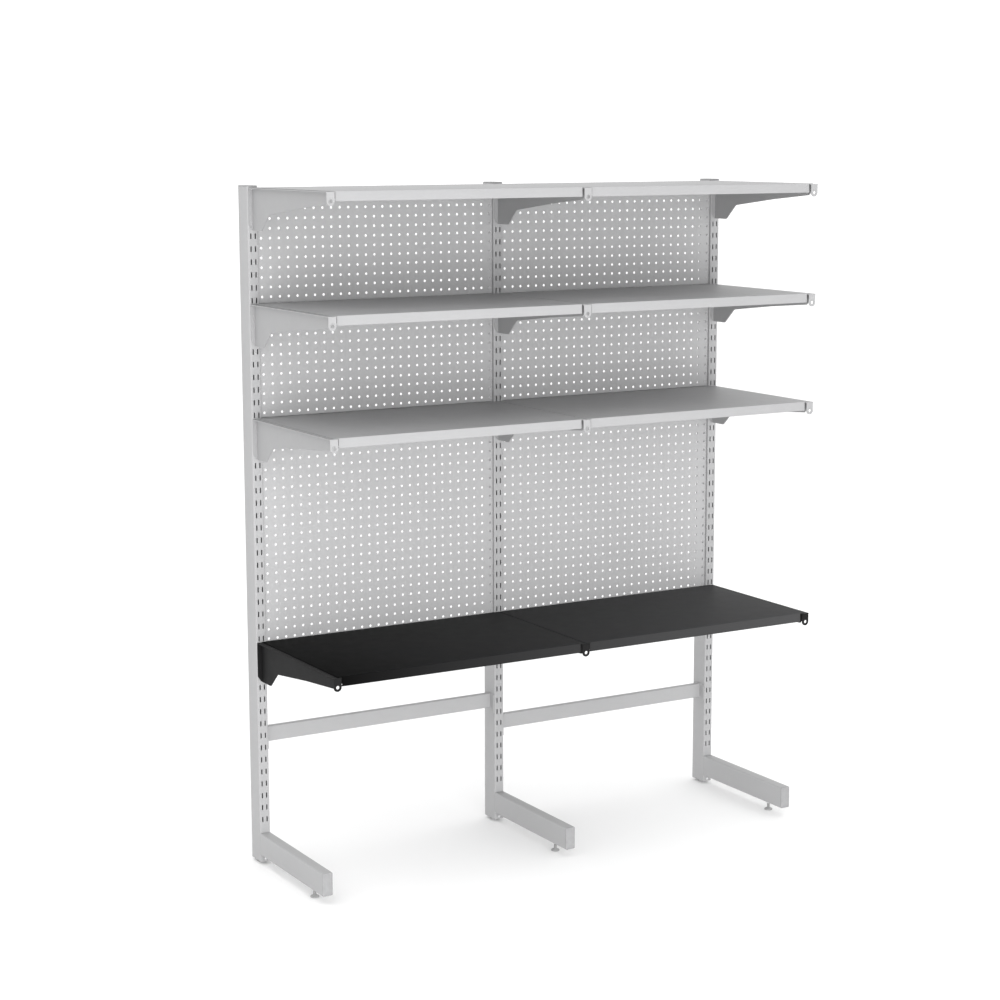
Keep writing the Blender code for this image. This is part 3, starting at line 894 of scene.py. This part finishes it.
def upright_cap_mesh(low, high):
    """Push-in cap: a plate with a rounded edge and a faint crown over a plug."""
    width, depth = high.x - low.x, high.y - low.y
    middle = ((low.x + high.x) / 2, (low.y + high.y) / 2)
    top, seat = high.z, high.z - TOP_CAP_PLATE

    def ring(inset, corner, z):
        outline = rounded_rectangle(width - 2 * inset, depth - 2 * inset, corner)
        return [(x + middle[0], y + middle[1], z) for x, y in outline]

    plug = TUBE_WALL + GAP
    rings = [ring(plug + 0.0008, 0.0006, low.z), ring(plug, 0.0012, low.z + 0.002)]
    rings += [ring(plug, 0.0012, seat), ring(0, TUBE_CORNER, seat)]
    for angle in quarter_turn():
        inset = TOP_CAP_EDGE * (1 - math.cos(angle))
        z = top - TOP_CAP_CROWN - TOP_CAP_EDGE * (1 - math.sin(angle))
        rings.append(ring(inset, TUBE_CORNER - inset, z))
    rings.append(ring(TOP_CAP_CROWN_INSET, 0.002, top))
    shell = Shell()
    shell.loft(rings)
    return smooth(mesh_from(shell.welded(), "upright_end_cap"))


def foot_mesh(pad_radius, height):
    """Levelling foot: ribbed pad, cone and swivel collar, hexagon and a cut thread."""
    profile = [
        (pad_radius - 0.0030, 0.0004),
        (pad_radius - 0.0026, 0.0),
        (pad_radius - 0.0008, 0.0),
        (pad_radius, 0.0009),
        (pad_radius, 0.0022),
        (pad_radius - 0.0004, 0.0026),
        (pad_radius, 0.0030),
        (pad_radius - 0.0002, 0.0038),
        (pad_radius - 0.0012, 0.0044),
        (0.0090, 0.0057),
        (0.0080, 0.0062),
        (0.0074, 0.0074),
        (0.0062, 0.0080),
        (STEM_RADIUS - THREAD_DEPTH, 0.0082),
    ]
    z = profile[-1][1]
    while z + THREAD_PITCH < height:
        profile.append((STEM_RADIUS, z + THREAD_PITCH / 2))
        profile.append((STEM_RADIUS - THREAD_DEPTH, z + THREAD_PITCH))
        z += THREAD_PITCH
    profile.append((STEM_RADIUS - 2 * THREAD_DEPTH, height))
    return smooth(mesh_from(lathe(profile, TURNED_STEPS), "levelling_foot"))


def hexagon(corner, limit):
    """Outline of a hexagon whose corners are turned down to a limiting radius."""
    points = []
    for step in range(HEXAGON_STEPS):
        angle = 2 * math.pi * step / HEXAGON_STEPS
        local = (angle % (math.pi / 3)) - math.pi / 6
        flat = corner * math.cos(math.pi / 6) / math.cos(local)
        reach = min(flat, limit)
        points.append((reach * math.cos(angle), reach * math.sin(angle)))
    return points


def nut_mesh(radius, bore, height):
    """Hexagon nut with chamfered corners and a clear bore, its axis along Z."""

    def ring(z, limit):
        return [(x, y, z) for x, y in hexagon(radius, limit)]

    waist = radius * 0.93
    rings = [
        ring(0, waist),
        ring(NUT_CHAMFER, radius),
        ring(height - NUT_CHAMFER, radius),
        ring(height, waist),
        ring(height, bore + NUT_MOUTH),
        ring(height - NUT_MOUTH, bore),
        ring(NUT_MOUTH, bore),
        ring(0, bore + NUT_MOUTH),
    ]
    shell = Shell()
    for first, second in zip(rings, rings[1:] + rings[:1]):
        shell.strip(first, second)
    return smooth(mesh_from(shell.welded(), "foot_nut"))


def screw_mesh(low, high):
    """Pan-head screw with a cross recess, its head towards -Y."""
    length = high.y - low.y
    profile = [
        (SCREW_SHANK_RADIUS, SCREW_HEAD_HEIGHT - length),
        (SCREW_SHANK_RADIUS, 0.0),
        (SCREW_HEAD_RADIUS, 0.0),
        (SCREW_HEAD_RADIUS, 0.0007),
        (SCREW_HEAD_RADIUS - 0.0004, 0.0013),
        (SCREW_HEAD_RADIUS - 0.0014, 0.0018),
        (SCREW_HEAD_RADIUS - 0.0028, 0.0020),
    ]
    body = lathe(profile, TURNED_STEPS)
    arms = []
    for x, y in ((RECESS_REACH, RECESS_WIDTH / 2), (RECESS_WIDTH / 2, RECESS_REACH)):
        arms.append(block((-x, -y, RECESS_FLOOR), (x, y, RECESS_TOP)))
    mesh = combined("cross_screw", body, cuts=arms)
    turn = Matrix.Rotation(math.pi / 2, 4, "X")
    mesh.transform(turn)
    return smooth(mesh)


def bolt_mesh(low, high, head):
    """Hexagon bolt with a washer face and chamfered crown, its head towards +Y."""
    radius = (high.x - low.x) / 2
    washer = radius * 0.95

    def ring(y, limit, corner=NO_FLATS):
        return [(x, y, z) for x, z in hexagon(corner, limit)]

    seat = high.y - head
    rings = [
        ring(low.y, BOLT_RADIUS - BOLT_WASHER),
        ring(low.y + BOLT_WASHER, BOLT_RADIUS),
        ring(seat, BOLT_RADIUS),
        ring(seat, washer),
        ring(seat + BOLT_WASHER, washer),
        ring(seat + BOLT_WASHER, radius, radius),
        ring(high.y - BOLT_CHAMFER, radius, radius),
        ring(high.y, radius * 0.88, radius),
    ]
    shell = Shell()
    shell.loft(rings)
    return smooth(mesh_from(shell.welded(), "hexagon_bolt"))


def bar_shapes(low, high):
    """The crossbar's tube, its weld beads and its two end plates, as one shell."""
    bottom = high.z - BAR_HEIGHT
    front = high.y - BAR_PLATE_BACK - BAR_DEPTH
    middle = (front + BAR_DEPTH / 2, bottom + BAR_HEIGHT / 2)

    def ring(x, grow, corner):
        outline = rounded_rectangle(BAR_DEPTH + 2 * grow, BAR_HEIGHT + 2 * grow, corner + grow)
        return [(x, y + middle[0], z + middle[1]) for y, z in outline]

    inner_low, inner_high = low.x + BAR_PLATE, high.x - BAR_PLATE
    rings = [ring(inner_low - TINY, BAR_BEAD, BAR_CORNER)]
    for angle in quarter_turn()[1:]:
        grow = BAR_BEAD * (1 - math.sin(angle))
        rings.append(ring(inner_low + BAR_BEAD * (1 - math.cos(angle)), grow, BAR_CORNER))
    for angle in reversed(quarter_turn()[1:]):
        grow = BAR_BEAD * (1 - math.sin(angle))
        rings.append(ring(inner_high - BAR_BEAD * (1 - math.cos(angle)), grow, BAR_CORNER))
    rings.append(ring(inner_high + TINY, BAR_BEAD, BAR_CORNER))
    shell = Shell()
    shell.loft(rings)

    slant = (high.y - low.y - BAR_PLATE_BACK) / 2
    corners = (
        (low.y, low.z),
        (low.y + slant / 2, low.z),
        (high.y, bottom),
        (high.y, high.z),
        (low.y, high.z),
    )
    outline = eased(corners, (0.002, 0.004, 0.003, 0.003, 0.003))
    for start, end in ((low.x, inner_low), (inner_high, high.x)):
        plate = [[(x, y, z) for y, z in outline] for x in (start, end)]
        shell.loft(plate)
    return smooth(mesh_from(shell.welded(), "crossbar_tube"))


# ---------------------------------------------------------------------- build


def middle_of(node):
    low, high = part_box(node)
    return (low + high) / 2, low, high


def build_uprights(looks):
    low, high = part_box("upright_left")
    tube = upright_mesh(high.x - low.x, high.y - low.y, low.z, high.z)
    centre_x = (low.x + high.x) / 2
    cap_low, cap_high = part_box("upright_cap_left")
    shift = Vector((-centre_x, 0, 0))
    cap = upright_cap_mesh(cap_low + shift, cap_high + shift)
    for side in SIDES:
        middle, side_low, _ = middle_of(f"upright_{side}")
        place = (middle.x, side_low.y, 0)
        piece(f"tube_{side}", tube, looks["frame"], "frame", f"upright_{side}", place)
        node = f"upright_cap_{side}"
        piece(f"end_cap_{side}", cap, looks["cap"], "frame", node, (middle.x, 0, 0))


def build_base(looks):
    low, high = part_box("base_leg_left")
    shift = Vector((-(low.x + high.x) / 2, 0, 0))
    stem_y = middle_of("front_foot_left")[0].y
    leg = leg_mesh(low + shift, high + shift, stem_y)
    cap_low, cap_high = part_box("leg_cap_left")
    cap = leg_cap_mesh(cap_low + shift, cap_high + shift)
    screw = screw_mesh(*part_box("foot_screw_left"))
    bolt_low, bolt_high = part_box("leg_bolt_left_lower")
    upright_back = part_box("upright_left")[1].y
    bolt_middle = (bolt_low + bolt_high) / 2
    offset = Vector((bolt_middle.x, 0, bolt_middle.z))
    bolt = bolt_mesh(bolt_low - offset, bolt_high - offset, bolt_high.y - upright_back - GAP)
    feet = {}
    for end in ("front", "rear"):
        foot_low, foot_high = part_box(f"{end}_foot_left")
        feet[end] = foot_mesh((foot_high.x - foot_low.x) / 2, foot_high.z)
    nut = nut_mesh(NUT_RADIUS, STEM_RADIUS + GAP, NUT_HEIGHT)
    for side in SIDES:
        x = middle_of(f"base_leg_{side}")[0].x
        piece(f"leg_tube_{side}", leg, looks["frame"], "frame", f"base_leg_{side}", (x, 0, 0))
        piece(f"leg_end_{side}", cap, looks["cap"], "frame", f"leg_cap_{side}", (x, 0, 0))
        middle, screw_low, screw_high = middle_of(f"foot_screw_{side}")
        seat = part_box(f"upright_{side}")[0].y - GAP
        place = (middle.x, seat, middle.z)
        piece(f"cross_screw_{side}", screw, looks["zinc"], "frame", f"foot_screw_{side}", place)
        for row in ("lower", "upper"):
            node = f"leg_bolt_{side}_{row}"
            middle = middle_of(node)[0]
            place = (middle.x, 0, middle.z)
            piece(f"hex_bolt_{side}_{row}", bolt, looks["zinc"], "frame", node, place)
        for end, mesh in feet.items():
            node = f"{end}_foot_{side}"
            middle = middle_of(node)[0]
            body = f"{end}_leveller_{side}"
            place = (middle.x, middle.y, 0)
            piece(f"leveller_{end}_{side}", mesh, looks["foot"], body, node, place)
        middle = middle_of(f"front_foot_{side}")[0]
        place = (middle.x, middle.y, low.z - NUT_HEIGHT - TINY)
        piece(f"foot_nut_{side}", nut, looks["zinc"], "frame", None, place)


def build_crossbars(looks):
    for bay in BAYS:
        node = f"crossbar_{bay}"
        mesh = bar_shapes(*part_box(node))
        piece(f"rail_{bay}", mesh, looks["frame"], "frame", node, bevel=0.0004)


def build_panels(looks):
    for bay in BAYS:
        for row in PANELS:
            node = f"back_panel_{row}_{bay}"
            mesh = panel_mesh(*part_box(node))
            made = piece(f"perforated_{row}_{bay}", mesh, looks["panel"], "frame", node)
            sheet = made.modifiers.new("Sheet thickness", "SOLIDIFY")
            sheet.thickness = PANEL_SHEET
            sheet.offset = -1.0
            sheet.use_even_offset = True


def build_shelves(looks):
    low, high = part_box("deck_desk_left")
    deck = deck_mesh(high.x - low.x, high.y - low.y)
    bracket_low, bracket_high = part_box("bracket_desk_left")
    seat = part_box("upright_left")[0].y
    bracket = bracket_mesh(bracket_high.x - bracket_low.x, seat - bracket_low.y)
    ring = ring_mesh()
    for level in LEVELS:
        look = looks["desk" if level == "desk" else "shelf"]
        arm_look = looks["desk_arm" if level == "desk" else "shelf"]
        for bay in BAYS:
            node = f"deck_{level}_{bay}"
            middle, deck_low, deck_high = middle_of(node)
            place = (middle.x, deck_low.y, deck_high.z)
            body = f"{level}_shelf_{bay}"
            piece(f"shelf_{level}_{bay}", deck, look, body, node, place, bevel=0.0003)
        height = deck_high.z
        for side in SIDES:
            node = f"bracket_{level}_{side}"
            middle, side_low, _ = middle_of(node)
            place = (middle.x, seat, height)
            piece(f"arm_{level}_{side}", bracket, arm_look, "frame", node, place, bevel=0.0004)
            place = (middle.x, side_low.y, height - NOSE_HOLE_DROP)
            piece(f"nose_ring_{level}_{side}", ring, arm_look, "frame", None, place)


def dress_inserts(looks):
    """The blocks inside the uprights keep their CAD shape."""
    for side in SIDES:
        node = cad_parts[f"foot_insert_{side}"]
        for slot in node.material_slots:
            slot.material = looks["foot"]["material"]
        if not node.material_slots:
            node.data.materials.append(looks["foot"]["material"])


def build_stage():
    shell = Shell()
    outline = rounded_rectangle(2 * FLOOR_HALF, 2 * FLOOR_HALF, FLOOR_CORNER)
    shell.face([(x, y, 0) for x, y in outline])
    shape = shell.welded(Matrix.Translation((0, 0, -TINY)))
    shape.normal_update()
    for face in shape.faces:
        if face.normal.z < 0:
            face.normal_flip()
    floor = bpy.data.objects.new("studio_floor", mesh_from(shape, "studio_floor"))
    floor.data.materials.append(plain_floor())
    bpy.context.scene.collection.objects.link(floor)


def add_light(name, place, target, size, power):
    data = bpy.data.lights.new(name, "AREA")
    data.shape = "RECTANGLE"
    data.size, data.size_y = size
    data.energy = power
    lamp = bpy.data.objects.new(name, data)
    lamp.location = place
    aim = Vector(target) - Vector(place)
    lamp.rotation_euler = aim.to_track_quat("-Z", "Y").to_euler()
    bpy.context.scene.collection.objects.link(lamp)


def build_light():
    world = bpy.data.worlds.new("studio")
    world.use_nodes = True
    backdrop = world.node_tree.nodes["Background"]
    backdrop.inputs["Color"].default_value = (1.0, 1.0, 1.0, 1.0)
    backdrop.inputs["Strength"].default_value = 1.25
    bpy.context.scene.world = world
    centre = (0.0, 0.0, 1.1)
    add_light("key", (-1.5, -3.5, 6.0), centre, (3.5, 2.5), 30.0)
    add_light("front", (-2.2, -6.5, 1.3), centre, (4.0, 2.5), 310.0)


def build_camera():
    data = bpy.data.cameras.new("camera")
    data.sensor_width = SENSOR_MM
    data.lens = CAMERA_FOCAL_SHARE * SENSOR_MM
    camera = bpy.data.objects.new("camera", data)
    camera.location = CAMERA_PLACE
    angles = (90 - CAMERA_PITCH, CAMERA_ROLL, -CAMERA_YAW)
    camera.rotation_euler = [math.radians(angle) for angle in angles]
    bpy.context.scene.collection.objects.link(camera)
    bpy.context.scene.camera = camera


def build():
    looks = {
        "frame": powder_coat(
            "grey_frame_coat", "frame_steel", (0.355, 0.355, 0.359), 0.5, 0.35, 0.018, 0.25
        ),
        # The shelf coat is the frame's grey made darker: painted shade, against the light that
        # the front lips catch.
        "shelf": powder_coat(
            "grey_shelf_coat", "shelf_steel", (0.315, 0.315, 0.319), 0.5, 0.35, 0.018, 0.25
        ),
        # The panel coat is the frame's grey made lighter: painted light, against the shade
        # between the shelves.
        "panel": powder_coat(
            "grey_panel_coat", "panel_steel", (0.385, 0.385, 0.389), 0.55, 0.3, 0.02, 0.25
        ),
        # The desk deck and its arms are one black steel given two blacks: the deck's darker
        # base with almost no specular is painted shade.
        "desk": powder_coat(
            "black_desk_coat", "desk_steel", (0.002, 0.002, 0.002), 0.5, 0.01, 0.03, 0.1,
            # painted reflection, lighter towards the unit's right end
            painted_sheen=(0.058, 0.058, 0.059),
        ),
        "desk_arm": powder_coat(
            "black_arm_coat", "desk_steel", (0.012, 0.012, 0.0123), 0.5, 0.06, 0.03, 0.1
        ),
        "cap": moulded_plastic("grey_cap_plastic", "cap_plastic", (0.28, 0.28, 0.284), 0.5),
        "foot": moulded_plastic("grey_foot_plastic", "foot_plastic", (0.33, 0.33, 0.33), 0.5),
        "zinc": zinc_plate("zinc_plated_steel", "zinc", (0.8, 0.8, 0.81), 0.3),
    }
    build_uprights(looks)
    build_base(looks)
    build_crossbars(looks)
    build_panels(looks)
    build_shelves(looks)
    dress_inserts(looks)
    build_stage()
    build_light()
    build_camera()
    bpy.context.scene.view_settings.view_transform = "Standard"


build()
